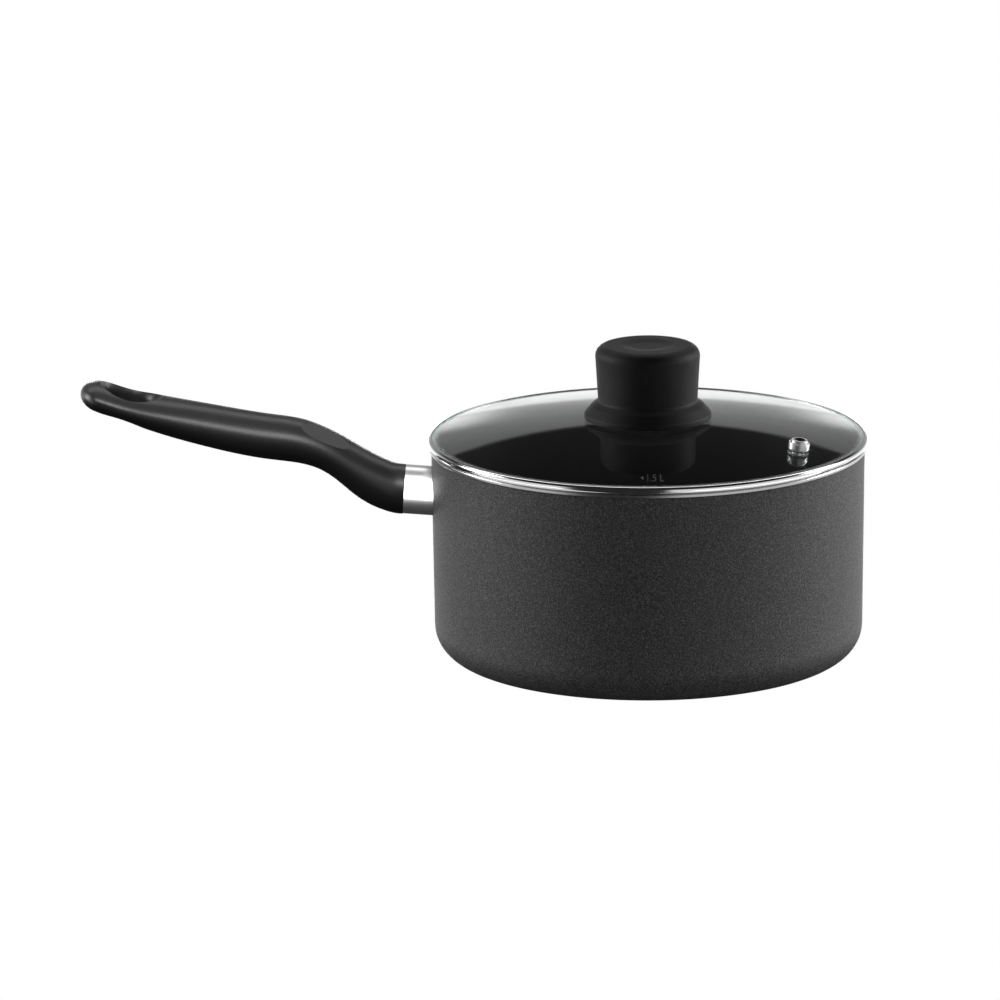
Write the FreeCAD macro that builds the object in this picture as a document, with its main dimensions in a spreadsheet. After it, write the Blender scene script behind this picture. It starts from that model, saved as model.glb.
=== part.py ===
import FreeCAD, Part
import os
import Sketcher

# Saucepan with a glass lid.  Millimetres, +Z up, origin at the centre of the base's underside.
# The handle points along -X.  Every size is a named cell of the sheet "sizes".

doc = FreeCAD.newDocument("saucepan")
sheet = doc.addObject("Spreadsheet::Sheet", "sizes")

PAN_SIZES = {
    "pan_radius": 99.0,          # outside of the wall, just under the lip
    "pan_height": 98.7,          # underside of the base to the top of the lip
    "wall_draft": 1.1,           # how much the wall's radius shrinks down to the base
    "wall_thick": 2.6,
    "base_thick": 4.5,
    "corner_outer": 15.0,        # outside radius between base and wall
    "corner_inner": 11.5,
    "lip_width": 1.0,            # how far the lip stands out from the wall
    "lip_height": 1.7,
    "lip_round": 0.45,
    "ring_count": 6,             # turned rings in the base's underside
    "ring_first": 16.0,          # mean radius of the smallest ring
    "ring_margin": 11.0,         # from the largest ring to the corner's start
    "ring_width": 2.0,
    "ring_depth": 0.5,
    "wall_clearance": 0.02,      # between the wall and what is bent to it
    "cut_past": 6.0,             # how far cutting shapes run past what they cut
    "hole_tool_half": 20.0,      # half length of the cylinders that cut through holes
}

HANDLE_SIZES = {
    "handle_drop": 22.0,         # from the top of the lip down to where the handle's axis meets the wall
    "handle_tilt": 4.2,          # degrees, the handle's axis rises outwards
    "guard_inset": 0.08,         # the flame guard's outside lies this far inside the grip's end
    "guard_thick": 0.8,
    "saddle_gap": 0.4,           # between the saddle's edge and the inside of the guard
    "saddle_thick": 2.5,
    "tongue_wide": 14.0,
    "tongue_thick": 3.0,
    "tongue_reach": 32.0,        # along the axis, from the wall
    "tongue_gap": 0.2,           # around the tongue in the grip
    "rivet_radius": 2.0,
    "rivet_head_radius": 3.7,
    "rivet_head_height": 1.6,
    "rivet_head_taper": 0.75,    # the head's flat top as a share of its foot
    "rivet_head_edge": 0.64,     # rounding of the head's edge
    "rivet_rise": 6.1,           # rivets above and below the axis
    "rivet_gap": 0.05,
    "screw_reach": 22.0,         # along the axis, from the wall
    "screw_radius": 2.0,
    "screw_gap": 0.05,
    "screw_head_radius": 3.8,
    "screw_head_height": 2.5,
    "screw_head_round": 1.25,
    "screw_floor": 3.0,          # grip material between the tongue and the screw's washer
    "screw_washer_radius": 4.2,
    "screw_washer_thick": 0.8,
    "screw_recess_gap": 0.3,
    "driver_radius": 1.6,
    "driver_depth": 1.3,
    "spine_wide": 0.8,           # half width of the ridge between the two thumb facets
    "facet_out": 44.3,           # a point on the ridge of the thumb facets
    "facet_up": 28.33,
    "facet_slope": 24.6,         # degrees, down towards the pan
    "facet_roll": 23.3,          # degrees, down towards each side
    "facet_long": 80.0,          # block that cuts a facet
    "facet_wide": 40.0,
    "facet_high": 30.0,
    "eye_reach": 139.4,          # hanging eye's centre, out from the wall
    "eye_long": 11.9,            # half length of the hole
    "eye_half": 11.0,            # half width of the hole
    "tip_long": 10.1,            # the rounded tip, past the last station
}

# Stations along the grip's centre line: out from the wall, up from where its axis meets the wall,
# half width and half height of the oval section.
GRIP_STATIONS = [
    ("neck", 12.4, 0.85, 12.3, 11.3),
    ("root", 18.9, 2, 12.6, 11.1),
    ("rise", 24.3, 4.35, 13.0, 10.85),
    ("slope", 35.3, 11.4, 13.2, 9.65),
    ("bend", 46.2, 18.55, 13.4, 9.1),
    ("crest", 60.0, 23.65, 13.6, 9.9),
    ("palm", 73.6, 25.75, 13.8, 10.15),
    ("middle", 101.0, 31.05, 14.3, 9.5),
    ("taper", 128.4, 37.8, 15.4, 7.75),
    ("end", 142.0, 41.9, 16.0, 6.75),
    ("nose", 150.0, 44.45, 15.2, 6.55),
]
TIP_FRACTIONS = [0.35, 0.6, 0.8, 0.92, 0.98, 0.9995]

# The hanging eye flares from its waist to both faces: height along its axis, growth all round.
EYE_FLARE = [(-12.0, 8.0), (-8.5, 3.6), (-6.5, 1.7), (-4.5, 0.6), (-2.5, 0.1), (0.0, 0.0),
             (2.5, 0.1), (4.5, 0.6), (6.5, 1.7), (8.5, 3.6), (12.0, 8.0)]

LID_SIZES = {
    "band_overhang": 0.5,        # the steel band past the pan's lip
    "band_height": 3.5,
    "band_thick": 0.4,
    "band_flat": 0.25,           # half of the straight stretch between the band's roundings
    "band_lip": 2.1,             # how far the band's top reaches in over the glass
    "skirt_gap": 0.8,            # between the skirt and the inside of the pan
    "skirt_depth": 8.0,
    "glass_thick": 3.1,
    "glass_gap": 0.05,
    "dome_rise": 9.85,           # from the glass at the band to its centre
    "dome_overlap": 1.0,         # how far the dome and its flat edge run into each other
    "glass_hole_radius": 4.0,
    "vent_x": 67.9,
    "vent_y": -42.0,
    "vent_hole_radius": 2.2,
    "vent_barrel_radius": 3.0,
    "vent_barrel_gap": 0.2,
    "vent_flange_radius": 4.8,
    "vent_flange_height": 3.4,
    "vent_roll_radius": 3.8,
    "vent_roll_height": 4.7,
    "vent_round": 0.7,           # outer edges of the flange's foot and of the roll
    "vent_edge_round": 0.5,
    "vent_under_thick": 0.75,    # flange under the glass
    "vent_under_round": 0.35,
    "vent_under_gap": 0.05,
    "vent_seal_thick": 0.5,
    "vent_seal_gap": 0.02,       # around the barrel
    "vent_seal_lift": 0.03,      # above the glass
    "vent_seal_inset": 0.2,      # inside the flange's edge
    "knob_flange_radius": 29.0,
    "knob_flange_height": 2.4,
    "knob_foot_radius": 22.7,
    "knob_foot_height": 8.2,     # from the flange's underside to the column's foot
    "knob_foot_round": 1.8,
    "knob_cone_radius": 25.7,    # where the flange's cone meets the foot's fillet
    "knob_cone_height": 6.1,
    "knob_top_radius": 24.2,
    "knob_height": 33.8,         # from the flange's underside
    "knob_edge_round": 4.9,
    "knob_dish_radius": 12.5,
    "knob_dish_depth": 0.6,
    "knob_dish_run": 5.0,        # width of the dish's slope
    "knob_dish_brim": 6.0,       # roundings at the dish's brim and floor
    "knob_dish_floor": 8.0,
    "knob_flange_low_round": 0.5,
    "knob_flange_top_round": 0.8,
    "knob_cone_round": 3.0,
    "knob_flange_under": 2.0,    # width of the flange's flat underside
    "knob_shell": 4.5,           # wall of the hollow knob
    "knob_core_draft": 0.6,
    "knob_core_round": 1.0,
    "knob_core_foot_round": 2.0,
    "knob_boss_radius": 8.5,
    "knob_lift": 0.15,           # flange's underside above the glass
    "insert_radius": 4.5,
    "insert_long": 14.0,
    "insert_gap": 0.02,
    "insert_inset": 0.2,         # insert shorter than its hole
    "knob_screw_radius": 2.5,
    "knob_screw_gap": 0.05,
    "knob_screw_bite": 10.0,     # thread inside the insert
    "knob_screw_head_radius": 5.2,
    "knob_screw_head_height": 3.2,
    "knob_screw_head_round": 1.92,
    "knob_washer_radius": 9.5,
    "knob_washer_thick": 1.2,
    "seal_radius": 10.5,
    "seal_thick": 1.2,
    "pad_radius": 8.0,
    "pad_thick": 1.0,
}


def fillSheet():
    values = dict(PAN_SIZES)
    values.update(HANDLE_SIZES)
    for name, out, up, wide, deep in GRIP_STATIONS:
        values.update({name + "_out": out, name + "_up": up, name + "_wide": wide, name + "_deep": deep})
    values.update(LID_SIZES)
    for row, (alias, value) in enumerate(values.items(), start=1):
        sheet.set("A%d" % row, alias)
        sheet.set("B%d" % row, str(value))
        sheet.setAlias("B%d" % row, alias)
    doc.recompute()


def cells(expression):
    """Turn [name] into a reference to the sheet's cell of that name."""
    return str(expression).replace("[", "sizes.").replace("]", "")


def valueOf(expression):
    return float(sheet.evalExpression(cells(expression)))


# Helpers.

def outlineSketch(body, name, outline):
    """A closed outline in the body's XZ plane.

    Each corner is (x, z) or (x, z, rounding), all written as expressions.
    """
    sketch = body.newObject("Sketcher::SketchObject", name)
    plane = [item for item in body.Origin.OriginFeatures if item.Role == "XZ_Plane"][0]
    sketch.AttachmentSupport = (plane, [""])
    sketch.MapMode = "FlatFace"
    addOutline(sketch, outline)
    return sketch


def addOutline(sketch, outline):
    first = sketch.GeometryCount
    count = len(outline)
    points = [FreeCAD.Vector(valueOf(corner[0]), valueOf(corner[1]), 0) for corner in outline]
    for index in range(count):
        line = Part.LineSegment(points[index], points[(index + 1) % count])
        sketch.addGeometry(line, False)
    for index in range(count):
        following = first + (index + 1) % count
        sketch.addConstraint(Sketcher.Constraint("Coincident", first + index, 2, following, 1))
    for index, corner in enumerate(outline):
        for kind, value, expression in (("DistanceX", points[index].x, corner[0]),
                                        ("DistanceY", points[index].y, corner[1])):
            number = sketch.addConstraint(Sketcher.Constraint(kind, -1, 1, first + index, 1, value))
            sketch.setExpression("Constraints[%d]" % number, cells(expression))
    for index, corner in enumerate(outline):
        if len(corner) == 3:
            before = first + (index - 1) % count
            sketch.fillet(before, 2, valueOf(corner[2]), True, True)
            arc = sketch.GeometryCount - 2
            number = sketch.addConstraint(Sketcher.Constraint("Radius", arc, valueOf(corner[2])))
            sketch.setExpression("Constraints[%d]" % number, cells(corner[2]))


def turned(label, outline):
    """A body turned about its own Z axis from an outline of (radius, height) corners."""
    body = doc.addObject("PartDesign::Body", label + "_body")
    sketch = outlineSketch(body, label + "_outline", outline)
    turn = body.newObject("PartDesign::Revolution", label + "_turn")
    turn.Profile = sketch
    turn.ReferenceAxis = (sketch, ["V_Axis"])
    turn.Angle = 360
    doc.recompute()
    return body


def placed(item, x, y, z, turn="rotation(0; 0; 0)"):
    vector = "vector(%s; %s; %s)" % (cells(x), cells(y), cells(z))
    item.setExpression("Placement", "placement(%s; %s)" % (vector, cells(turn)))
    return item


def primitive(kind, name, **sizes):
    item = doc.addObject("Part::" + kind, name)
    for size, expression in sizes.items():
        item.setExpression(size, cells(expression))
    return item


def cut(name, base, *tools):
    for number, tool in enumerate(tools, start=1):
        step = doc.addObject("Part::Cut", "%s_cut_%d" % (name, number))
        step.Base = base
        step.Tool = tool
        base = step
    return base


def fuse(name, *pieces):
    item = doc.addObject("Part::MultiFuse", name)
    item.Shapes = list(pieces)
    return item


def common(name, *pieces):
    item = doc.addObject("Part::MultiCommon", name)
    item.Shapes = list(pieces)
    return item


def loft(name, sections):
    item = doc.addObject("Part::Loft", name)
    item.Sections = sections
    item.Solid = True
    item.Ruled = len(sections) == 2
    return item


subparts = {}


def keep(item, label):
    item.Label = label
    subparts[label] = item
    return item


# The handle's own axis.

AXIS_HEIGHT = "([pan_height] - [handle_drop])"
FACE_ALONG = "([neck_out] * cos([handle_tilt]) + [neck_up] * sin([handle_tilt]))"     # the grip's end face
GUARD_WIDE = "([neck_wide] - [guard_inset])"
GUARD_DEEP = "([neck_deep] - [guard_inset])"


def axisX(along, lift="0"):
    return "-([pan_radius] + (%s) * cos([handle_tilt])) + (%s) * sin([handle_tilt])" % (along, lift)


def axisZ(along, lift="0"):
    return AXIS_HEIGHT + " + (%s) * sin([handle_tilt]) + (%s) * cos([handle_tilt])" % (along, lift)


def ovalSection(name, out, up, wide, deep, angle):
    """An oval across the handle; angle is how steeply the handle rises there, in degrees."""
    oval = primitive("Ellipse", name, MajorRadius=wide, MinorRadius=deep)
    turn = "rotation(90; 0; (%s) - 90)" % angle
    return placed(oval, "-([pan_radius] + (%s))" % out, "0", "%s + (%s)" % (AXIS_HEIGHT, up), turn)


def ovalBar(name, start, stop, wide, deep):
    """A straight oval bar along the handle's axis."""
    ends = []
    for number, along in enumerate((start, stop)):
        oval = primitive("Ellipse", "%s_end_%d" % (name, number), MajorRadius=wide, MinorRadius=deep)
        turn = "rotation(90; 0; [handle_tilt] - 90)"
        ends.append(placed(oval, axisX(along), "0", axisZ(along), turn))
    return loft(name, ends)


# Pan.

WALL_TOP = "[pan_height] - [lip_height]"
WALL_LOW = "[pan_radius] - [wall_draft]"
INNER_TOP = "[pan_radius] - [wall_thick]"
INNER_LOW = "[pan_radius] - [wall_draft] - [wall_thick]"


def wallCone(name, offset):
    """The outside of the pan's wall, grown by offset, as a tall cone."""
    slope = "[wall_draft] / ([pan_height] - [lip_height])"
    cone = primitive("Cone", name,
                     Radius1="[pan_radius] - [wall_draft] + (%s)" % offset,
                     Radius2="[pan_radius] + (%s) + %s * [lip_height]" % (offset, slope),
                     Height="[pan_height]")
    return cone


def makePanBody():
    outline = [
        ("0", "0"),
        (WALL_LOW, "0", "[corner_outer]"),
        ("[pan_radius]", WALL_TOP),
        ("[pan_radius] + [lip_width]", WALL_TOP, "[lip_round]"),
        ("[pan_radius] + [lip_width]", "[pan_height]", "[lip_round]"),
        (INNER_TOP, "[pan_height]", "[lip_round]"),
        (INNER_LOW, "[base_thick]", "[corner_inner]"),
        ("0", "[base_thick]"),
    ]
    body = turned("pan_body", outline)
    rings = outlineSketch(body, "base_rings", ringOutline(0))
    for number in range(1, int(valueOf("[ring_count]"))):
        addOutline(rings, ringOutline(number))
    groove = body.newObject("PartDesign::Groove", "base_grooves")
    groove.Profile = rings
    groove.ReferenceAxis = (rings, ["V_Axis"])
    groove.Angle = 360
    body.Tip = groove
    doc.recompute()
    holes = [rivetHole("pan_rivet_hole_%d" % side, side) for side in (-1, 1)]
    keep(cut("pan_body", body, *holes), "pan_body")


def ringOutline(number):
    last = "([pan_radius] - [wall_draft] - [corner_outer] - [ring_margin])"
    middle = "[ring_first] + %d * (%s - [ring_first]) / ([ring_count] - 1)" % (number, last)
    inner = middle + " - [ring_width] / 2"
    outer = middle + " + [ring_width] / 2"
    return [(inner, "-[ring_depth]"), (outer, "-[ring_depth]"),
            (outer, "[ring_depth]"), (inner, "[ring_depth]")]


def rivetHole(name, side):
    hole = primitive("Cylinder", name, Radius="[rivet_radius] + [rivet_gap]",
                     Height="2 * [hole_tool_half]")
    height = "%s + %d * [rivet_rise]" % (AXIS_HEIGHT, side)
    return placed(hole, "-[pan_radius] - [hole_tool_half]", "0", height, "rotation(0; 90; 0)")


def makeSaddle():
    shell = cut("saddle_shell", wallCone("saddle_outside", "[saddle_thick]"),
                wallCone("saddle_inside", "[wall_clearance]"))
    plug = ovalBar("saddle_oval", "-[cut_past]", "[saddle_thick] + [cut_past]",
                   GUARD_WIDE + " - [guard_thick] - [saddle_gap]",
                   GUARD_DEEP + " - [guard_thick] - [saddle_gap]")
    plate = common("saddle_plate", shell, plug)
    tongue = primitive("Box", "tongue_bar", Length="[tongue_reach] - [saddle_thick] / 2",
                       Width="[tongue_wide]", Height="[tongue_thick]")
    start = "[saddle_thick] / 2"
    placed(tongue, axisX(start, "-[tongue_thick] / 2"), "[tongue_wide] / 2",
           axisZ(start, "-[tongue_thick] / 2"), "rotation(180; -[handle_tilt]; 0)")
    whole = fuse("saddle_whole", plate, tongue)
    tapped = primitive("Cylinder", "tongue_hole", Radius="[screw_radius] + [screw_gap]",
                       Height="[tongue_thick] + 2 * [cut_past]")
    under = "-[tongue_thick] / 2 - [cut_past]"
    placed(tapped, axisX("[screw_reach]", under), "0", axisZ("[screw_reach]", under),
           "rotation(0; [handle_tilt]; 0)")
    holes = [rivetHole("saddle_rivet_hole_%d" % side, side) for side in (-1, 1)]
    keep(cut("saddle", whole, tapped, *holes), "handle_saddle")


def makeRivets():
    # Turned about Z with the head inside the pan at the bottom, then laid along -X.
    inner = "[wall_thick] + [wall_draft] / 2"
    outer = "[saddle_thick] + [rivet_gap]"
    flat = "[rivet_head_radius] * [rivet_head_taper]"
    outline = [
        ("0", "-(%s) - [rivet_head_height]" % inner),
        (flat, "-(%s) - [rivet_head_height]" % inner, "[rivet_head_edge]"),
        ("[rivet_head_radius]", "-(%s)" % inner),
        ("[rivet_radius]", "-(%s)" % inner),
        ("[rivet_radius]", outer),
        ("[rivet_head_radius]", outer),
        (flat, "%s + [rivet_head_height]" % outer, "[rivet_head_edge]"),
        ("0", "%s + [rivet_head_height]" % outer),
    ]
    for side, label in ((-1, "rivet_lower"), (1, "rivet_upper")):
        rivet = turned(label, outline)
        placed(rivet, "-[pan_radius]", "0", "%s + %d * [rivet_rise]" % (AXIS_HEIGHT, side),
               "rotation(0; -90; 0)")
        keep(rivet, label)


def makeFlameGuard():
    outside = ovalBar("guard_outside", "-[cut_past]", FACE_ALONG, GUARD_WIDE, GUARD_DEEP)
    inside = ovalBar("guard_inside", "-2 * [cut_past]", FACE_ALONG + " + [cut_past]",
                     GUARD_WIDE + " - [guard_thick]", GUARD_DEEP + " - [guard_thick]")
    keep(cut("guard", outside, inside, wallCone("guard_wall", "[wall_clearance]")), "flame_guard")


# Grip.

def stationAngle(number):
    """How steeply the centre line rises at a station, from its two neighbours."""
    if number == 0:
        return "[handle_tilt]"
    before = GRIP_STATIONS[number - 1][0]
    after = GRIP_STATIONS[min(number + 1, len(GRIP_STATIONS) - 1)][0]
    return "atan2([%s_up] - [%s_up]; [%s_out] - [%s_out]) / 1 deg" % (after, before, after, before)


def gripSections():
    sections = []
    for number, station in enumerate(GRIP_STATIONS):
        name = station[0]
        sections.append(ovalSection("grip_" + name, "[%s_out]" % name, "[%s_up]" % name,
                                    "[%s_wide]" % name, "[%s_deep]" % name, stationAngle(number)))
    angle = stationAngle(len(GRIP_STATIONS) - 1)
    for number, fraction in enumerate(TIP_FRACTIONS):
        shrink = (1 - fraction ** 2) ** 0.5
        out = "[nose_out] + %g * [tip_long] * cos(%s)" % (fraction, angle)
        up = "[nose_up] + %g * [tip_long] * sin(%s)" % (fraction, angle)
        sections.append(ovalSection("grip_tip_%d" % number, out, up, "%g * [nose_wide]" % shrink,
                                    "%g * [nose_deep]" % shrink, angle))
    return sections


def thumbFacet(name, side):
    """A block whose underside is the flat thumb facet on one side of the ridge."""
    block = primitive("Box", name, Length="[facet_long]", Width="[facet_wide]", Height="[facet_high]")
    ridge = "placement(vector(%s; %s; %s); rotation(0; [facet_slope]; %s))" % (
        "-([pan_radius] + [facet_out])", "%d * [spine_wide]" % -side,
        AXIS_HEIGHT + " + [facet_up]", "%d * [facet_roll]" % side)
    aside = "-[facet_wide]" if side > 0 else "0"
    shift = "placement(vector(-[facet_long] / 2; %s; 0); rotation(0; 0; 0))" % aside
    block.setExpression("Placement", cells(ridge + " * " + shift))
    return block


def eyeTool():
    angle = "atan2([end_up] - [taper_up]; [end_out] - [taper_out]) / 1 deg"
    up = "[taper_up] + ([eye_reach] - [taper_out]) * ([end_up] - [taper_up]) / ([end_out] - [taper_out])"
    middle = "placement(vector(-([pan_radius] + [eye_reach]); 0; %s + %s); rotation(180; -%s; 0))" % (
        AXIS_HEIGHT, up, angle)
    sections = []
    for number, (height, growth) in enumerate(EYE_FLARE):
        oval = primitive("Ellipse", "eye_%d" % number, MajorRadius="[eye_long] + %g" % growth,
                         MinorRadius="[eye_half] + %g" % growth)
        lift = "placement(vector(0; 0; %g); rotation(0; 0; 0))" % height
        oval.setExpression("Placement", cells(middle + " * " + lift))
        sections.append(oval)
    return loft("eye_tool", sections)


def makeGrip():
    moulding = loft("grip_moulding", gripSections())
    socket = primitive("Box", "grip_socket",
                       Length="[tongue_reach] + [tongue_gap] - %s + [cut_past]" % FACE_ALONG,
                       Width="[tongue_wide] + 2 * [tongue_gap]",
                       Height="[tongue_thick] + 2 * [tongue_gap]")
    drop = "-[tongue_thick] / 2 - [tongue_gap]"
    start = FACE_ALONG + " - [cut_past]"
    placed(socket, axisX(start, drop), "[tongue_wide] / 2 + [tongue_gap]", axisZ(start, drop),
           "rotation(180; -[handle_tilt]; 0)")
    below = "-2 * [hole_tool_half]"
    shank = screwTool("grip_screw_hole", "[screw_radius] + [screw_recess_gap]", below, "0")
    seat = "-[tongue_thick] / 2 - [tongue_gap] - [screw_floor]"
    recess = screwTool("grip_screw_recess", "[screw_washer_radius] + [screw_recess_gap]", below, seat)
    facets = [thumbFacet("thumb_facet_near", 1), thumbFacet("thumb_facet_far", -1)]
    keep(cut("grip", moulding, socket, shank, recess, facets[0], facets[1], eyeTool()), "grip")


def screwTool(name, radius, low, high):
    hole = primitive("Cylinder", name, Radius=radius, Height="(%s) - (%s)" % (high, low))
    return placed(hole, axisX("[screw_reach]", low), "0", axisZ("[screw_reach]", low),
                  "rotation(0; [handle_tilt]; 0)")


def makeHandleScrew():
    seat = "-[tongue_thick] / 2 - [tongue_gap] - [screw_floor]"
    head = "%s - [screw_washer_thick]" % seat
    washer = turned("screw_washer", [
        ("[screw_radius] + 2 * [screw_gap]", head),
        ("[screw_washer_radius]", head),
        ("[screw_washer_radius]", seat),
        ("[screw_radius] + 2 * [screw_gap]", seat),
    ])
    screw = turned("handle_screw", [
        ("0", "%s - [screw_head_height] + [driver_depth]" % head),
        ("[driver_radius]", "%s - [screw_head_height] + [driver_depth]" % head),
        ("[driver_radius]", "%s - [screw_head_height]" % head),
        ("[screw_head_radius]", "%s - [screw_head_height]" % head, "[screw_head_round]"),
        ("[screw_head_radius]", head),
        ("[screw_radius]", head),
        ("[screw_radius]", "[tongue_thick] / 2"),
        ("0", "[tongue_thick] / 2"),
    ])
    for item, label in ((washer, "screw_washer"), (screw, "handle_screw")):
        placed(item, axisX("[screw_reach]"), "0", axisZ("[screw_reach]"), "rotation(0; [handle_tilt]; 0)")
        keep(item, label)


# Lid.

SEAT = "[pan_height]"                                        # the band rests on the pan's lip
BAND = "([pan_radius] + [lip_width] + [band_overhang])"      # outside of the steel band
BAND_TOP = "[pan_height] + [band_height]"
BAND_ROUND = "([band_height] / 2 - [band_flat])"
BAND_INNER = "(%s - [band_lip])" % BAND                      # inner edge of the band's top
SKIRT = "[pan_radius] - [wall_thick] - [skirt_gap]"
GLASS_EDGE = "(%s - [band_thick] - [glass_gap])" % BAND
GLASS_LOW = "[pan_height] + [band_thick] + [glass_gap]"
GLASS_HIGH = "[pan_height] + [band_height] - [band_thick] - [glass_gap]"
DOME_TOP = "(%s + [dome_rise])" % GLASS_HIGH
DOME_RADIUS = "((%s) ^ 2 + [dome_rise] ^ 2) / (2 * [dome_rise])" % BAND_INNER


def domeDrop(radius):
    """How far the glass has fallen below its centre at a radius."""
    return "(%s - sqrt((%s) ^ 2 - (%s) ^ 2))" % (DOME_RADIUS, DOME_RADIUS, radius)


def dome(name, drop):
    """The ball whose cap is the glass's upper or lower face."""
    ball = primitive("Sphere", name, Radius=DOME_RADIUS + " - " + drop)
    return placed(ball, "0", "0", "%s - %s" % (DOME_TOP, DOME_RADIUS))


def makeLidGlass():
    blank = turned("lid_blank", [
        ("0", GLASS_LOW),
        (BAND_INNER, GLASS_LOW),
        (BAND_INNER, "%s + [cut_past]" % DOME_TOP),
        ("0", "%s + [cut_past]" % DOME_TOP),
    ])
    dish = common("lid_dish", blank, dome("lid_upper", "0"))
    hollow = dome("lid_lower", "[glass_thick]")
    edgeRound = BAND_ROUND + " - [band_thick] - [glass_gap]"
    flange = turned("lid_flange", [
        (BAND_INNER + " - [dome_overlap]", GLASS_LOW),
        (GLASS_EDGE, GLASS_LOW, edgeRound),
        (GLASS_EDGE, GLASS_HIGH, edgeRound),
        (BAND_INNER + " - [dome_overlap]", GLASS_HIGH),
    ])
    cap = cut("lid_cap", dish, hollow)
    whole = fuse("lid_whole", cap, flange)
    centre = primitive("Cylinder", "lid_hole", Radius="[glass_hole_radius]", Height="2 * [hole_tool_half]")
    placed(centre, "0", "0", "%s - [hole_tool_half]" % DOME_TOP)
    vent = primitive("Cylinder", "vent_hole", Radius="[vent_barrel_radius] + [vent_barrel_gap]",
                     Height="2 * [hole_tool_half]")
    placedOnDome(vent, "-[hole_tool_half]")
    keep(cut("lid_glass", whole, centre, vent), "lid_glass")


def placedOnDome(item, lift):
    """Stand an item on the glass at the vent, square to the dome."""
    radius = "sqrt([vent_x] ^ 2 + [vent_y] ^ 2)"
    lean = "asin(%s / (%s)) / 1 deg" % (radius, DOME_RADIUS)
    spot = "placement(vector([vent_x]; [vent_y]; %s - %s); rotation(vector(-[vent_y]; [vent_x]; 0); %s))" % (
        DOME_TOP, domeDrop(radius), lean)
    raised = "placement(vector(0; 0; %s); rotation(0; 0; 0))" % lift
    item.setExpression("Placement", cells(spot + " * " + raised))
    return item


def makeLidRim():
    keep(turned("lid_rim", [
        (SKIRT + " - [band_thick]", SEAT + " - [skirt_depth]"),
        (SKIRT, SEAT + " - [skirt_depth]"),
        (SKIRT, SEAT),
        (BAND, SEAT, BAND_ROUND),
        (BAND, BAND_TOP, BAND_ROUND),
        (BAND_INNER, BAND_TOP),
        (BAND_INNER, BAND_TOP + " - [band_thick]"),
        (BAND + " - [band_thick]", BAND_TOP + " - [band_thick]", BAND_ROUND + " - [band_thick]"),
        (BAND + " - [band_thick]", SEAT + " + [band_thick]", BAND_ROUND + " - [band_thick]"),
        (SKIRT + " - [band_thick]", SEAT + " + [band_thick]"),
    ]), "lid_rim")


def makeVent():
    base = "[vent_seal_thick]"
    under = "-[glass_thick] - [vent_under_gap]"
    low = under + " - [vent_under_thick]"
    eyelet = turned("vent_eyelet", [
        ("[vent_hole_radius]", low),
        ("[vent_flange_radius]", low, "[vent_under_round]"),
        ("[vent_flange_radius]", under),
        ("[vent_barrel_radius]", under),
        ("[vent_barrel_radius]", base),
        ("[vent_flange_radius]", base, "[vent_round]"),
        ("[vent_flange_radius]", base + " + [vent_flange_height]", "[vent_edge_round]"),
        ("[vent_roll_radius]", base + " + [vent_flange_height]"),
        ("[vent_roll_radius]", base + " + [vent_roll_height]", "[vent_round]"),
        ("[vent_hole_radius]", base + " + [vent_roll_height]", "[vent_edge_round]"),
    ])
    keep(placedOnDome(eyelet, "0"), "vent_eyelet")
    seal = turned("vent_seal", [
        ("[vent_barrel_radius] + [vent_seal_gap]", "[vent_seal_lift]"),
        ("[vent_flange_radius] - [vent_seal_inset]", "[vent_seal_lift]"),
        ("[vent_flange_radius] - [vent_seal_inset]", base),
        ("[vent_barrel_radius] + [vent_seal_gap]", base),
    ])
    keep(placedOnDome(seal, "0"), "vent_seal")


KNOB_LOW = "(%s - %s + [knob_lift])" % (DOME_TOP, domeDrop("[knob_flange_radius]"))
KNOB_SEAT = "(%s + [pad_thick])" % DOME_TOP                  # the boss stands on its pad


def makeKnob():
    top = "%s + [knob_height]" % KNOB_LOW
    roof = top + " - [knob_dish_depth] - [knob_shell]"
    foot = "%s + [knob_foot_height]" % KNOB_LOW
    keep(turned("knob", [
        ("[insert_radius] + [insert_gap]", KNOB_SEAT),
        ("[knob_boss_radius]", KNOB_SEAT),
        ("[knob_boss_radius] + [knob_core_draft]", roof, "[knob_core_round]"),
        ("[knob_foot_radius] - [knob_shell] + [knob_core_draft]", roof, "[knob_core_round]"),
        ("[knob_foot_radius] - [knob_shell]", foot, "[knob_core_foot_round]"),
        ("[knob_flange_radius] - [knob_flange_under]", KNOB_LOW),
        ("[knob_flange_radius]", KNOB_LOW, "[knob_flange_low_round]"),
        ("[knob_flange_radius]", KNOB_LOW + " + [knob_flange_height]", "[knob_flange_top_round]"),
        ("[knob_cone_radius]", KNOB_LOW + " + [knob_cone_height]", "[knob_cone_round]"),
        ("[knob_foot_radius]", foot, "[knob_foot_round]"),
        ("[knob_top_radius]", top, "[knob_edge_round]"),
        ("[knob_dish_radius]", top, "[knob_dish_brim]"),
        ("[knob_dish_radius] - [knob_dish_run]", top + " - [knob_dish_depth]", "[knob_dish_floor]"),
        ("0", top + " - [knob_dish_depth]"),
        ("0", KNOB_SEAT + " + [insert_long]"),
        ("[insert_radius] + [insert_gap]", KNOB_SEAT + " + [insert_long]"),
    ]), "knob")


def ringPart(label, inner, outer, low, high):
    keep(turned(label, [(inner, low), (outer, low), (outer, high), (inner, high)]), label)


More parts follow.
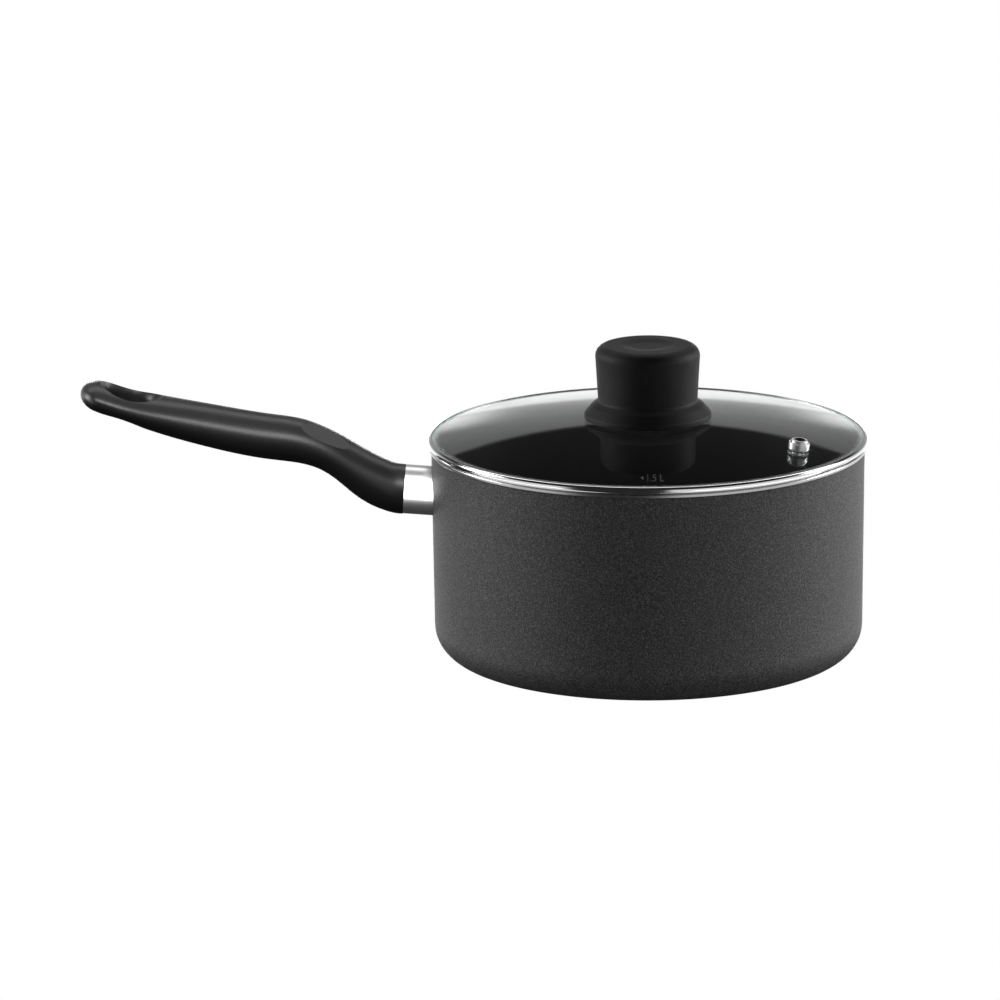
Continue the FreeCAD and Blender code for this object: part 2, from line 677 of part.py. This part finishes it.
def makeKnobFixing():
    glassUnder = "(%s - %s - [glass_thick])" % (DOME_TOP, domeDrop("[seal_radius]"))
    sealLow = "(%s - [seal_thick])" % glassUnder
    washerLow = "(%s - [knob_washer_thick])" % sealLow
    clear = "[knob_screw_radius] + 2 * [knob_screw_gap]"
    ringPart("knob_pad", "[insert_radius]", "[pad_radius]", DOME_TOP, KNOB_SEAT)
    ringPart("under_seal", clear, "[seal_radius]", sealLow, glassUnder)
    ringPart("knob_washer", clear, "[knob_washer_radius]", washerLow, sealLow)
    ringPart("knob_insert", "[knob_screw_radius] + [knob_screw_gap]", "[insert_radius]",
             KNOB_SEAT, KNOB_SEAT + " + [insert_long] - [insert_inset]")
    keep(turned("knob_screw", [
        ("0", washerLow + " - [knob_screw_head_height]"),
        ("[knob_screw_head_radius]", washerLow + " - [knob_screw_head_height]",
         "[knob_screw_head_round]"),
        ("[knob_screw_head_radius]", washerLow),
        ("[knob_screw_radius]", washerLow),
        ("[knob_screw_radius]", KNOB_SEAT + " + [knob_screw_bite]"),
        ("0", KNOB_SEAT + " + [knob_screw_bite]"),
    ]), "knob_screw")


# Build, check, write.

fillSheet()
makePanBody()
makeSaddle()
makeRivets()
makeFlameGuard()
makeGrip()
makeHandleScrew()
makeLidGlass()
makeLidRim()
makeVent()
makeKnob()
makeKnobFixing()
doc.recompute()

failed = [item.Name for item in doc.Objects if "Invalid" in item.State or "Error" in item.State]
if failed:
    raise RuntimeError("objects that did not build: " + ", ".join(failed))
for label, item in subparts.items():
    if item.Shape.isNull() or not item.Shape.isValid() or not item.Shape.Solids:
        raise RuntimeError("no sound solid for " + label)

os.makedirs("parts", exist_ok=True)
for label, item in subparts.items():
    item.Shape.exportStep("parts/%s.step" % label)
    print("%-16s %10.1f mm3  %d solid" % (label, item.Shape.Volume, len(item.Shape.Solids)))
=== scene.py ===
import math

import bmesh
import bpy
from mathutils import Matrix, Vector


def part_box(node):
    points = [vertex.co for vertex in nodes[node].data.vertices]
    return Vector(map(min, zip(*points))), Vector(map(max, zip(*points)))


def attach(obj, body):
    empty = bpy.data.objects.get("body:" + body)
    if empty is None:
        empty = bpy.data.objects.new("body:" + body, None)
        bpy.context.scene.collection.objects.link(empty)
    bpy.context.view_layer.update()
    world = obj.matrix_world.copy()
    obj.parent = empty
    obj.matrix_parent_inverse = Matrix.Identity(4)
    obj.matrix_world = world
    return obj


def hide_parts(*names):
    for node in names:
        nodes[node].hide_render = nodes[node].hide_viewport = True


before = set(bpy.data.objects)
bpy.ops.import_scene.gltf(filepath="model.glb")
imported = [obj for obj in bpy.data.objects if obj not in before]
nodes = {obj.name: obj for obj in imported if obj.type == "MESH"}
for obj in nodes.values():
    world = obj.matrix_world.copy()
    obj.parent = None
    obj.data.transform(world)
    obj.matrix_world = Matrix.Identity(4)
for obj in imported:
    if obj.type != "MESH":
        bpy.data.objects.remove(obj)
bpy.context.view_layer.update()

scene = bpy.context.scene
mm = 0.001


class Wire:
    # one socket of a node tree, used in plain arithmetic
    def __init__(self, tree, socket=None):
        self.tree, self.socket = tree, socket

    def node(self, kind, settings=None, sockets=None, out=0):
        made = self.tree.nodes.new(kind)
        for name, value in (settings or {}).items():
            if name == "stops":
                self.fillRamp(made.color_ramp, value)
            else:
                setattr(made, name, value)
        for key, value in (sockets or {}).items():
            if isinstance(value, Wire):
                self.tree.links.new(value.socket, made.inputs[key])
            else:
                made.inputs[key].default_value = value
        return None if out is None else Wire(self.tree, made.outputs[out])

    def fillRamp(self, ramp, stops):
        for number, (place, grey) in enumerate(stops):
            if number < len(ramp.elements):
                stop = ramp.elements[number]
                stop.position = place
            else:
                stop = ramp.elements.new(place)
            stop.color = (grey, grey, grey, 1)

    def maths(self, operation, *terms):
        return self.node("ShaderNodeMath", {"operation": operation}, dict(enumerate(terms)))

    def __add__(self, other): return self.maths("ADD", self, other)
    def __radd__(self, other): return self.maths("ADD", other, self)
    def __sub__(self, other): return self.maths("SUBTRACT", self, other)
    def __rsub__(self, other): return self.maths("SUBTRACT", other, self)
    def __mul__(self, other): return self.maths("MULTIPLY", self, other)
    def __rmul__(self, other): return self.maths("MULTIPLY", other, self)
    def __truediv__(self, other): return self.maths("DIVIDE", self, other)
    def __rtruediv__(self, other): return self.maths("DIVIDE", other, self)
    def __pow__(self, other): return self.maths("POWER", self, other)
    def __gt__(self, other): return self.maths("GREATER_THAN", self, other)
    def __lt__(self, other): return self.maths("LESS_THAN", self, other)
    def least(self, other): return self.maths("MINIMUM", self, other)
    def most(self, other): return self.maths("MAXIMUM", self, other)

    def ease(self, low, high, start=0.0, end=1.0):
        # smooth step from start to end while the value goes from low to high
        settings = {"interpolation_type": "SMOOTHSTEP"}
        sockets = {"Value": self, "From Min": low, "From Max": high, "To Min": start, "To Max": end}
        return self.node("ShaderNodeMapRange", settings, sockets)

    def within(self, edges):
        # 1 between the two middle edges, falling softly to 0 at the outer two
        return self.ease(edges[0], edges[1]) * self.ease(edges[2], edges[3], 1, 0)

    def blendTo(self, first, second):
        # colour that goes from first to second as this value goes from 0 to 1
        def plain(colour):
            return colour if isinstance(colour, Wire) else (*colour, 1)
        sockets = {0: self, 6: plain(first), 7: plain(second)}
        return self.node("ShaderNodeMix", {"data_type": "RGBA"}, sockets, out=2)

    def part(self, axis):
        return self.node("ShaderNodeSeparateXYZ", None, {0: self}, out="XYZ".index(axis))

    def grain(self, scale, detail=2.0, rough=0.5, stretch=None):
        place = self
        if stretch:
            place = self.node("ShaderNodeMapping", None, {"Vector": self, "Scale": stretch})
        sockets = {"Vector": place, "Scale": scale, "Detail": detail, "Roughness": rough}
        return self.node("ShaderNodeTexNoise", None, sockets)

    def relief(self, strength, distance):
        sockets = {"Strength": strength, "Distance": distance, "Height": self}
        return self.node("ShaderNodeBump", None, sockets)


def emptyTree(owner):
    owner.use_nodes = True
    owner.node_tree.nodes.clear()
    return Wire(owner.node_tree)


def newFinish(name, **fixed):
    # an empty material with a Principled shader whose fixed values sit on its own sockets
    material = bpy.data.materials.new(name)
    wire = emptyTree(material)
    shader = wire.node("ShaderNodeBsdfPrincipled")
    wire.node("ShaderNodeOutputMaterial", None, {"Surface": shader}, out=None)
    principled = shader.socket.node
    for key, value in fixed.items():
        principled.inputs[key.replace("_", " ")].default_value = value
    place = wire.node("ShaderNodeTexCoord", out=3)
    return material, principled, place


def drive(principled, **wires):
    # what changes over the surface
    for key, wire in wires.items():
        wire.tree.links.new(wire.socket, principled.inputs[key.replace("_", " ")])


def shaded(colour, factor):
    return tuple(channel * factor for channel in colour)


def dress(name, material):
    mesh = nodes[name].data
    mesh.materials.clear()
    mesh.materials.append(material)


def placedInScene(name, data):
    item = bpy.data.objects.new(name, data)
    scene.collection.objects.link(item)
    return item


def meshOf(item):
    # the plain mesh that an object shows, after which the object itself goes
    scene.view_layers[0].update()
    mesh = bpy.data.meshes.new_from_object(item.evaluated_get(bpy.context.evaluated_depsgraph_get()))
    item.modifiers.clear()
    bpy.data.objects.remove(item)
    return mesh


# camera
cameraValues = {
    "place": (0.0, -3.7301, 0.9954),
    "turn": math.radians(1.0406),     # to the left of straight ahead
    "dip": math.radians(13.9005),
    "roll": math.radians(-0.4495),
    "lens": 302.4,
    "sensor": 36,
    "clip": (0.05, 60),
}


def makeCamera():
    v = cameraValues
    yaw, dip, roll = -v["turn"], v["dip"], v["roll"]
    ahead = Vector((math.sin(yaw) * math.cos(dip), math.cos(yaw) * math.cos(dip), -math.sin(dip)))
    level = Vector((math.cos(yaw), -math.sin(yaw), 0))
    over = level.cross(ahead)
    right = level * math.cos(roll) + over * math.sin(roll)
    up = over * math.cos(roll) - level * math.sin(roll)
    data = bpy.data.cameras.new("camera")
    data.lens, data.sensor_width = v["lens"], v["sensor"]
    data.clip_start, data.clip_end = v["clip"]
    camera = placedInScene("camera", data)
    turn = Matrix((right, up, -ahead)).transposed().to_4x4()
    camera.matrix_world = Matrix.Translation(v["place"]) @ turn
    scene.camera = camera


makeCamera()
print("camera made")

# studio
studioValues = {
    "floorSize": 14.0,
    "shade": 0.02,           # dark part of the room
    # heights and places in the room are parts of a direction of length 1
    # behind: brightness by height, plus a half, of a pale table that fades up a low wall
    "fade": [(0.0, 1.05), (0.53, 1.05), (0.565, 0.52), (0.62, 0.40), (0.80, 0.26), (1, 0.2)],
    "backLow": -0.32,
    "backReach": 0.55,
    "wallTop": 0.268,
    "wallSoft": 0.02,
    "wallRise": 4.5,         # how the wall's top climbs to both sides, and how far at most
    "wallRiseMost": 0.09,
    # the wall brightens just outside the lid's mirror image
    "glow": 3.6,
    "glowStart": 0.04,
    "glowRun": 0.045,
    "glowEnd": (0.105, 0.155),
    "glowHigh": (0.05, 0.21),
    # both sides: pale screens from table height to above the lid, in radians round from the front
    "sideLevel": 0.75,
    "sideLeft": (-1.85, -1.65, -0.85, -0.65),
    "sideRight": (0.14, 0.24, 2.3, 2.5),
    "sideTall": (-0.45, -0.35, 0.32, 0.42),
    "lamps": [
        # name, place, aimed at, width, depth, watts, only these nodes
        ("lampLeft", (-1.82, 0.30, 0.65), (0, 0, 0.05), 0.8, 1.1, 21.5, None),
        ("lampRight", (1.75, 0.55, 0.65), (0, 0, 0.05), 0.8, 1.1, 21, None),
        ("lampBack", (0.0, 1.25, 1.6), (0, 0, 0.1), 2.8, 0.6, 11, None),
        ("lampGrip", (-0.22, -0.95, 1.05), (-0.2, 0, 0.1), 1.0, 0.55, 15, ("grip",)),
        ("lampRoof", (-0.2, -0.3, 1.5), (-0.2, 0, 0.1), 1.4, 1.5, 3, ("grip",)),
        ("lampGuard", (-0.12, -0.72, 0.42), (-0.12, 0, 0.08), 0.7, 1.9, 26, ("flame_guard",)),
    ],
}


def makeLamp(name, place, target, width, depth, power, only):
    data = bpy.data.lights.new(name, "AREA")
    data.shape, data.size, data.size_y, data.energy = "RECTANGLE", width, depth, power
    lamp = placedInScene(name, data)
    lamp.location = place
    lamp.rotation_euler = (Vector(target) - Vector(place)).to_track_quat("-Z", "Y").to_euler()
    lamp.visible_camera = False
    if only:
        group = bpy.data.collections.new(name + "Only")
        for item in only:
            group.objects.link(item)
        lamp.light_linking.receiver_collection = group


def makeStudio():
    v = studioValues
    world = bpy.data.worlds.new("studio")
    scene.world = world
    wire = emptyTree(world)
    direction = wire.node("ShaderNodeTexCoord", out=0)
    across, along, height = direction.part("X"), direction.part("Y"), direction.part("Z")
    tone = wire.node("ShaderNodeValToRGB", {"stops": v["fade"]}, {0: height + 0.5})
    aside = across.maths("ABSOLUTE", across)
    edge = (aside - v["glowStart"]).most(0) / v["glowRun"]
    glow = edge * edge * edge * v["glow"] * aside.ease(*v["glowEnd"], 1, 0)
    glow = glow * height.ease(*v["glowHigh"], 1, 0)
    climb = (across * across * v["wallRise"]).least(v["wallRiseMost"])
    below = (height - climb - v["wallTop"]).ease(0, v["wallSoft"], 1, 0)
    back = tone * (1 + glow) * below * (height > v["backLow"]) * (along > v["backReach"])
    turn = across.maths("ARCTAN2", across, 0 - along)
    sides = turn.within(v["sideLeft"]) + turn.within(v["sideRight"])
    sides = sides * height.within(v["sideTall"]) * v["sideLevel"]
    lit = back.most(sides).most(v["shade"])
    seen = wire.node("ShaderNodeLightPath", out=0)
    sockets = {"Color": (1, 1, 1, 1), "Strength": seen + (1 - seen) * lit}
    background = wire.node("ShaderNodeBackground", None, sockets)
    wire.node("ShaderNodeOutputWorld", None, {"Surface": background}, out=None)
    for name, place, target, width, depth, power, only in v["lamps"]:
        makeLamp(name, place, target, width, depth, power, [nodes[node] for node in only or ()])
    scene.view_settings.view_transform = "Standard"
    scene.view_settings.look = "None"


def makeFloor():
    half = studioValues["floorSize"] / 2
    mesh = bpy.data.meshes.new("floor")
    corners = [(-half, -half, 0), (half, -half, 0), (half, half, 0), (-half, half, 0)]
    mesh.from_pydata(corners, [], [(0, 1, 2, 3)])
    floor = placedInScene("floor", mesh)
    material = bpy.data.materials.new("floorPaper")
    wire = emptyTree(material)
    # bright from above, clear from beneath
    paper = wire.node("ShaderNodeEmission", None, {"Color": (1, 1, 1, 1), "Strength": 1.0})
    clear = wire.node("ShaderNodeBsdfTransparent")
    under = wire.node("ShaderNodeNewGeometry", out=6)
    mixed = wire.node("ShaderNodeMixShader", None, {0: under, 1: paper, 2: clear})
    wire.node("ShaderNodeOutputMaterial", None, {"Surface": mixed}, out=None)
    mesh.materials.append(material)
    floor.visible_diffuse = False
    floor.visible_glossy = False
    floor.visible_transmission = False
    floor.visible_shadow = False


makeStudio()
makeFloor()
print("studio made")

# pan
panValues = {
    "paint": (0.034, 0.034, 0.0355),
    "paintFleck": (0.19, 0.19, 0.195),
    "coating": (0.0042, 0.0042, 0.0044),
    "coatingShades": (0.9, 1.12),
    "coatingCloud": 9,
    "bare": (0.60, 0.60, 0.61),
    "lipHeight": 1.7 * mm,
    "baseBare": 78.0 * mm,     # radius and depth of the bare, turned base
    "baseDepth": 1.4 * mm,
    "turnedLines": 9000,
    "speckle": (1500, 3000),   # scales of the coarse and the fine speckle
    "speckleShares": (0.6, 0.4),
    "speckleEdge": (0.45, 0.64),
    # roughness, and how much the pattern adds to it
    "paintRough": (0.46, 0.12),
    "coatingRough": (0.34, 0.06),
    "metalRough": (0.2, 0.08),
    "bump": (0.55, 0.22 * mm),
    "metalBump": 0.12,
}


def panFinish():
    v = panValues
    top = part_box("pan_body")[1].z
    material, shader, place = newFinish("panEnamel")
    facing = place.node("ShaderNodeTexCoord", out=1)
    x, y, z = place.part("X"), place.part("Y"), place.part("Z")
    radius = (x * x + y * y) ** 0.5
    outward = (facing.part("X") * x + facing.part("Y") * y) / (radius + 0.0001)
    inside = (facing.part("Z") - outward).ease(-0.15, 0.15)
    outside = 1 - inside
    lip = z > top - v["lipHeight"]
    bare = (z < v["baseDepth"]) * (radius < v["baseBare"])
    metal = lip.most(bare)
    coarse = place.grain(v["speckle"][0], 3.0, 0.6)
    fine = place.grain(v["speckle"][1])
    cloud = place.grain(v["coatingCloud"])
    speckle = coarse * v["speckleShares"][0] + fine * v["speckleShares"][1]
    paint = speckle.ease(*v["speckleEdge"]).blendTo(v["paint"], v["paintFleck"])
    coating = cloud.blendTo(*(shaded(v["coating"], shade) for shade in v["coatingShades"]))
    colour = metal.blendTo(inside.blendTo(paint, coating), v["bare"])
    lines = radius * v["turnedLines"]
    turned = lines.maths("SINE", lines) * 0.5 + 0.5

    def roughOf(name, pattern):
        return v[name][0] + pattern * v[name][1]

    rough = outside * roughOf("paintRough", fine) + inside * roughOf("coatingRough", cloud)
    rough = rough * (1 - metal) + metal * roughOf("metalRough", turned)
    relief = outside * (1 - metal) * (coarse * 0.5 + fine * 0.5) + metal * turned * v["metalBump"]
    drive(shader, Base_Color=colour, Roughness=rough, Metallic=metal, Normal=relief.relief(*v["bump"]))
    return material


dress("pan_body", panFinish())
print("pan finished")

# lid glass
glassValues = {
    "tint": (0.93, 0.97, 0.95),
    "edgeTint": (0.84, 0.95, 0.90),
    "edgeStart": 95.0 * mm,     # where the glass bends flat into the band
    "edgeEnd": 98.0 * mm,
    "edgeRough": 0.45,
    "smear": 24,
    "smearShade": 1.02,
    "index": 1.5,
}


def glassFinish():
    v = glassValues
    material, shader, place = newFinish("lidGlass", IOR=v["index"], Transmission_Weight=1.0)
    smear = place.grain(v["smear"])
    x, y = place.part("X"), place.part("Y")
    edge = ((x * x + y * y) ** 0.5).ease(v["edgeStart"], v["edgeEnd"])
    clear = smear.blendTo(v["tint"], shaded(v["tint"], v["smearShade"]))
    drive(shader, Base_Color=edge.blendTo(clear, v["edgeTint"]), Roughness=edge * v["edgeRough"])
    return material


dress("lid_glass", glassFinish())
nodes["lid_glass"].visible_shadow = False
print("lid glass finished")

# bright metal
metalValues = {
    # name: colour, roughness, brushing strength
    "rimSteel": ((0.86, 0.86, 0.86), 0.09, 0.03),
    "guardAluminium": ((0.92, 0.92, 0.93), 0.30, 0.06),
    "bracketSteel": ((0.62, 0.62, 0.63), 0.28, 0.10),
    "rivetAluminium": ((0.78, 0.78, 0.79), 0.26, 0.08),
    "fixingSteel": ((0.66, 0.66, 0.67), 0.22, 0.08),
    "ventSteel": ((0.90, 0.90, 0.90), 0.33, 0.04),
    "insertBrass": ((0.72, 0.52, 0.24), 0.25, 0.08),
}
brushValues = {"lines": 420, "cloud": 60, "cloudShade": 0.94, "cloudRough": 0.03}


def metalFinish(name, stretch):
    v = brushValues
    colour, rough, brushed = metalValues[name]
    material, shader, place = newFinish(name, Metallic=1.0)
    lines = place.grain(v["lines"], 3.0, 0.6, stretch)
    cloud = place.grain(v["cloud"])
    tone = cloud.blendTo(shaded(colour, v["cloudShade"]), colour)
    drive(shader, Base_Color=tone, Roughness=rough + lines * brushed + cloud * v["cloudRough"])
    return material


dress("flame_guard", metalFinish("guardAluminium", (0.2, 1, 1)))
dress("handle_saddle", metalFinish("bracketSteel", (0.3, 1, 1)))
rivet = metalFinish("rivetAluminium", (1, 1, 1))
dress("rivet_lower", rivet)
dress("rivet_upper", rivet)
fixing = metalFinish("fixingSteel", (1, 1, 1))
for name in ("screw_washer", "handle_screw", "knob_washer", "knob_screw"):
    dress(name, fixing)

# the vent's bore gets painted shade: a dark, dull disc inside its bright rolled lip stands in for the
# deep hole
ventValues = {
    "middle": (68.6 * mm, -42.4 * mm),
    "bore": 2.5 * mm,
    "boreSoft": 0.1 * mm,
    # painted shade for the hole: its near-black colour and the roughness it adds
    "boreShade": (0.012, 0.012, 0.012),
    "boreShadeRough": 0.3,
    "cloud": 260,
    "cloudShade": 0.92,
}


def ventFinish():
    v = ventValues
    colour, rough, brushed = metalValues["ventSteel"]
    material, shader, place = newFinish("ventSteel")
    x, y = place.part("X") - v["middle"][0], place.part("Y") - v["middle"][1]
    # painted shade: inside the bore's radius the colour blends to near black and stops being metal, as
    # shade in the hole
    bore = ((x * x + y * y) ** 0.5).ease(v["bore"], v["bore"] + v["boreSoft"], 1, 0)
    cloud = place.grain(v["cloud"])
    tone = cloud.blendTo(shaded(colour, v["cloudShade"]), colour)
    drive(shader, Base_Color=bore.blendTo(tone, v["boreShade"]), Metallic=1 - bore,
          Roughness=rough + cloud * brushed + bore * v["boreShadeRough"])
    return material


dress("vent_eyelet", ventFinish())
dress("knob_insert", metalFinish("insertBrass", (1, 1, 1)))
print("metal finished")

# the steel band round the glass: one thin strip rolled to an open box section
bandValues = {
    "skirt": 95.6 * mm,        # outside of the skirt that centres the lid
    "skirtDepth": 8.0 * mm,
    "outside": 100.5 * mm,
    "inside": 98.4 * mm,       # edge of the top over the glass
    "seat": 98.7 * mm,
    "high": 3.5 * mm,
    "thick": 0.4 * mm,
    "round": 1.5 * mm,
    "roundSteps": 8,
    "turns": 384,
    "sharp": math.radians(40),
    # light off the table, for the band's lower half: name, place, width, depth, watts
    "lamps": [
        ("tableLeft", (-0.72, -0.22, -0.50), 1.1, 0.9, 2.2),
        ("tableRight", (0.70, -0.38, -0.50), 1.6, 0.9, 3.4),
    ],
}


def bandOutline():
    # (radius, height) round the strip's section, with arcs where it is rolled
    v = bandValues
    skin, top = v["thick"], v["seat"] + v["high"]
    outer, inner = v["round"], v["round"] - v["thick"]
    points = [
        (v["skirt"] - skin, v["seat"] - v["skirtDepth"]),
        (v["skirt"], v["seat"] - v["skirtDepth"]),
        (v["skirt"], v["seat"]),
    ]
    low, high = v["seat"] + outer, top - outer
    middle = v["outside"] - outer
    steps = v["roundSteps"]
    quarter = [math.pi / 2 * number / steps for number in range(steps + 1)]
    points += [(middle + outer * math.sin(a), low - outer * math.cos(a)) for a in quarter]
    points += [(middle + outer * math.cos(a), high + outer * math.sin(a)) for a in quarter]
    points += [(v["inside"], top), (v["inside"], top - skin)]
    points += [(middle + inner * math.sin(a), high + inner * math.cos(a)) for a in quarter]
    points += [(middle + inner * math.cos(a), low - inner * math.sin(a)) for a in quarter]
    points.append((v["skirt"] - skin, v["seat"] + skin))
    return points


def makeBand():
    v = bandValues
    shape = bmesh.new()
    rings = []
    for number in range(v["turns"]):
        angle = 2 * math.pi * number / v["turns"]
        sine, cosine = math.sin(angle), math.cos(angle)
        rings.append([shape.verts.new((r * cosine, r * sine, z)) for r, z in bandOutline()])
    count = len(rings[0])
    for number, ring in enumerate(rings):
        following = rings[(number + 1) % v["turns"]]
        for corner in range(count):
            past = (corner + 1) % count
            face = shape.faces.new((ring[corner], following[corner], following[past], ring[past]))
            face.smooth = True
    bmesh.ops.recalc_face_normals(shape, faces=shape.faces)
    for edge in shape.edges:
        edge.smooth = edge.calc_face_angle(0) < v["sharp"]
    mesh = bpy.data.meshes.new("lidBand")
    shape.to_mesh(mesh)
    shape.free()
    mesh.materials.append(metalFinish("rimSteel", (1, 1, 6)))
    band = placedInScene("lidBand", mesh)
    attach(band, "lid")
    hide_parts("lid_rim")
    for name, place, width, depth, power in v["lamps"]:
        makeLamp(name, place, (0, 0, v["seat"]), width, depth, power, [band])


makeBand()
print("lid band made")

# filling marks printed on the inside wall, at the back
markValues = {
    "colour": (0.86, 0.86, 0.87),
    "shades": (0.8, 1.1),
    "patch": 1500,
    "patchEdge": (0.3, 0.7),
    "rough": (0.5, 0.1),       # and how much the patches add to it
    "bump": (0.1, 0.02 * mm),
    "levels": ("0.5 L", "1.0 L", "1.5 L"),
    "lowest": 23.8 * mm,
    "spacing": 17.5 * mm,
    "letter": 4.45 * mm,       # text size, for capitals 3.1 mm high
    "textStart": -1.3 * mm,    # along the wall from the middle of the back
    "pointerStart": -2.6 * mm,
    "pointer": 0.95 * mm,      # radius of the triangle
    "ink": 0.06 * mm,          # half its thickness
    "wallTop": 96.4 * mm,      # inside radius at the brim
    "wallSlope": 1.1 / 94.2,
    "brim": 98.7 * mm,
}


def markFinish():
    v = markValues
    material, shader, place = newFinish("markInk", IOR=1.45)
    patch = place.grain(v["patch"])
    tone = patch.ease(*v["patchEdge"]).blendTo(*(shaded(v["colour"], shade) for shade in v["shades"]))
    drive(shader, Base_Color=tone, Roughness=v["rough"][0] + patch * v["rough"][1],
          Normal=patch.relief(*v["bump"]))
    return material


def bentToWall(mesh):
    # flat marks lie in x and y with z as the ink's height; the wall's curve takes them up
    v = markValues
    for vertex in mesh.vertices:
        along, height, ink = vertex.co
        radius = v["wallTop"] - (v["brim"] - height) * v["wallSlope"] - ink - v["ink"]
        angle = along / v["wallTop"]
        vertex.co = (radius * math.sin(angle), radius * math.cos(angle), height)


def pointerTree(material):
    # one triangle with some thickness, repeated up the wall
    tree = bpy.data.node_groups.new("pointers", "GeometryNodeTree")
    kinds = {"Count": "Int", "Spacing": "Float", "Size": "Float", "Ink": "Float", "Start": "Vector"}
    for name, kind in kinds.items():
        tree.interface.new_socket(name, in_out="INPUT", socket_type="NodeSocket" + kind)
    tree.interface.new_socket("Geometry", in_out="OUTPUT", socket_type="NodeSocketGeometry")
    sockets = tree.nodes.new("NodeGroupInput").outputs
    given = {name: Wire(tree, sockets[name]) for name in kinds}
    wire = Wire(tree)
    triangle = wire.node("GeometryNodeMeshCylinder", {"fill_type": "NGON"},
                         {"Vertices": 3, "Radius": given["Size"], "Depth": given["Ink"]})
    turned = wire.node("GeometryNodeTransform", None,
                       {"Geometry": triangle, "Rotation": (0, 0, math.pi)})
    offset = wire.node("ShaderNodeCombineXYZ", None, {"Y": given["Spacing"]})
    line = wire.node("GeometryNodeMeshLine", {"mode": "OFFSET"},
                     {"Count": given["Count"], "Start Location": given["Start"], "Offset": offset})
    placed = wire.node("GeometryNodeInstanceOnPoints", None, {"Points": line, "Instance": turned})
    whole = wire.node("GeometryNodeRealizeInstances", None, {"Geometry": placed})
    inked = wire.node("GeometryNodeSetMaterial", None, {"Geometry": whole, "Material": material})
    wire.node("NodeGroupOutput", None, {0: inked}, out=None)
    return tree


def makePointers(material):
    v = markValues
    tree = pointerTree(material)
    item = placedInScene("pointerSource", bpy.data.meshes.new("pointerSource"))
    modifier = item.modifiers.new("pointers", "NODES")
    modifier.node_group = tree
    values = {"Count": len(v["levels"]), "Spacing": v["spacing"], "Size": v["pointer"],
              "Ink": v["ink"] * 2, "Start": (v["pointerStart"], v["lowest"], 0)}
    for socket in tree.interface.items_tree:
        if socket.in_out == "INPUT":
            modifier[socket.identifier] = values[socket.name]
    return meshOf(item)


def makeText(words, height):
    v = markValues
    curve = bpy.data.curves.new("levelText", "FONT")
    curve.body, curve.size, curve.extrude = words, v["letter"], v["ink"]
    mesh = meshOf(placedInScene("levelText", curve))
    low = min(vertex.co.y for vertex in mesh.vertices)
    high = max(vertex.co.y for vertex in mesh.vertices)
    mesh.transform(Matrix.Translation((v["textStart"], height - (low + high) / 2, 0)))
    return mesh


def makeMarks():
    v = markValues
    material = markFinish()
    shape = bmesh.new()
    meshes = [makePointers(material)]
    for number, words in enumerate(v["levels"]):
        meshes.append(makeText(words, v["lowest"] + number * v["spacing"]))
    for mesh in meshes:
        bentToWall(mesh)
        shape.from_mesh(mesh)
    bmesh.ops.remove_doubles(shape, verts=shape.verts, dist=0.001 * mm)
    bmesh.ops.recalc_face_normals(shape, faces=shape.faces)
    for face in shape.faces:
        face.material_index = 0
    mesh = bpy.data.meshes.new("levelMarks")
    shape.to_mesh(mesh)
    shape.free()
    mesh.materials.append(material)
    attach(placedInScene("levelMarks", mesh), "pan")


makeMarks()
print("filling marks made")

# grip
gripValues = {
    "colour": (0.0105, 0.0105, 0.011),
    "shades": (0.9, 1.15),
    "scales": (40, 1400),            # slow cloud and fine moulding grain
    "rough": (0.32, 0.08, 0.04),     # and how much the grain and the cloud add to it
    "bump": (0.12, 0.05 * mm),
}


def gripFinish():
    v = gripValues
    material, shader, place = newFinish("gripPhenolic", IOR=1.52)
    cloud, fine = (place.grain(scale) for scale in v["scales"])
    rough, fineRough, cloudRough = v["rough"]
    drive(shader, Base_Color=cloud.blendTo(*(shaded(v["colour"], shade) for shade in v["shades"])),
          Roughness=rough + fine * fineRough + cloud * cloudRough, Normal=fine.relief(*v["bump"]))
    return material


# knob
knobValues = {
    "colour": (0.0045, 0.0045, 0.0048),
    "shades": (0.75, 1.4),
    "scales": (700, 1900),           # coarse and fine grain
    "rough": (0.5, 0.16),            # and how much the fine grain adds to it
    "bump": (0.7, 0.22 * mm),
}


def knobFinish():
    v = knobValues
    material, shader, place = newFinish("knobPhenolic", IOR=1.52, Specular_IOR_Level=0.24)
    coarse = place.grain(v["scales"][0], 3.0, 0.6)
    fine = place.grain(v["scales"][1])
    drive(shader, Base_Color=coarse.blendTo(*(shaded(v["colour"], shade) for shade in v["shades"])),
          Roughness=v["rough"][0] + fine * v["rough"][1],
          Normal=(coarse * 0.5 + fine * 0.5).relief(*v["bump"]))
    return material


# seals and pad
siliconeValues = {
    "colour": (0.018, 0.018, 0.019),
    "shades": (0.85, 1.15),
    "cloud": 160,
    "rough": (0.5, 0.12),
    "bump": (0.1, 0.05 * mm),
}


def siliconeFinish():
    v = siliconeValues
    material, shader, place = newFinish("siliconeBlack", IOR=1.43)
    cloud = place.grain(v["cloud"])
    drive(shader, Base_Color=cloud.blendTo(*(shaded(v["colour"], shade) for shade in v["shades"])),
          Roughness=v["rough"][0] + cloud * v["rough"][1], Normal=cloud.relief(*v["bump"]))
    return material


dress("grip", gripFinish())
dress("knob", knobFinish())
silicone = siliconeFinish()
for name in ("vent_seal", "knob_pad", "under_seal"):
    dress(name, silicone)
# the glass mirrors neither the knob, its fixings nor the vent
for name in ("knob", "knob_insert", "knob_screw", "knob_pad", "vent_eyelet", "vent_seal"):
    nodes[name].visible_glossy = False
print("moulded parts finished")
